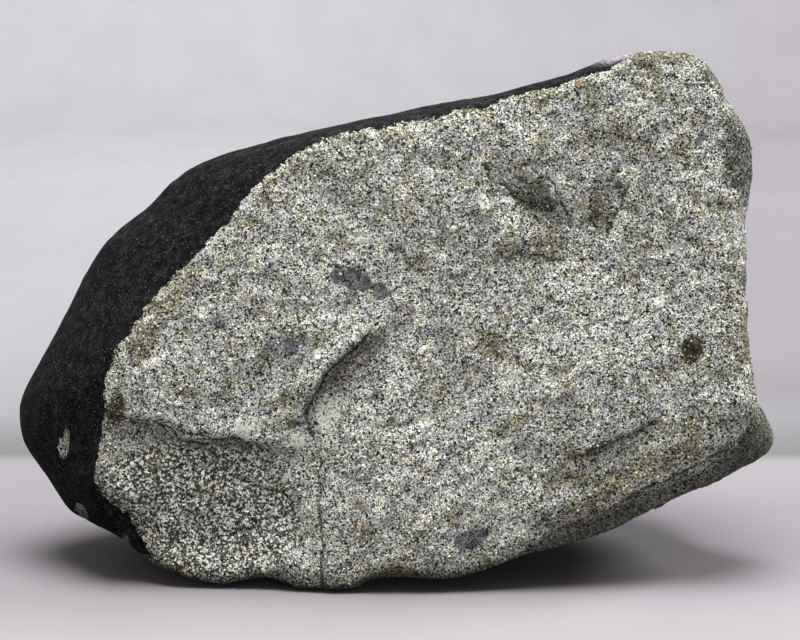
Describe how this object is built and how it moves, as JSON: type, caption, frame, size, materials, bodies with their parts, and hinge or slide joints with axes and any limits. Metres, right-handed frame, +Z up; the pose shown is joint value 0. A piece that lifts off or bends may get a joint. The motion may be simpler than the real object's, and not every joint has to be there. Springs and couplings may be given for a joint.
{
  "type": "chondrite meteorite",
  "caption": "Broken stony meteorite: a wedge-shaped stone with one large flat broken face, a rounded crusted back and a small foot underneath.",
  "frame": {"origin": "middle of the bounding box in X and Y, on the ground the stone stands on", "axes": "+X along the broken face to its viewer's right, +Y from the broken face into the stone, +Z up"},
  "size_m": [0.106, 0.058, 0.0718],
  "materials": {
    "broken_stone": "rough, pale grey broken stone with a matte black crust on its back and left"
  },
  "bodies": {
    "root": {"meteorite": "broken_stone"}
  },
  "joints": []
}
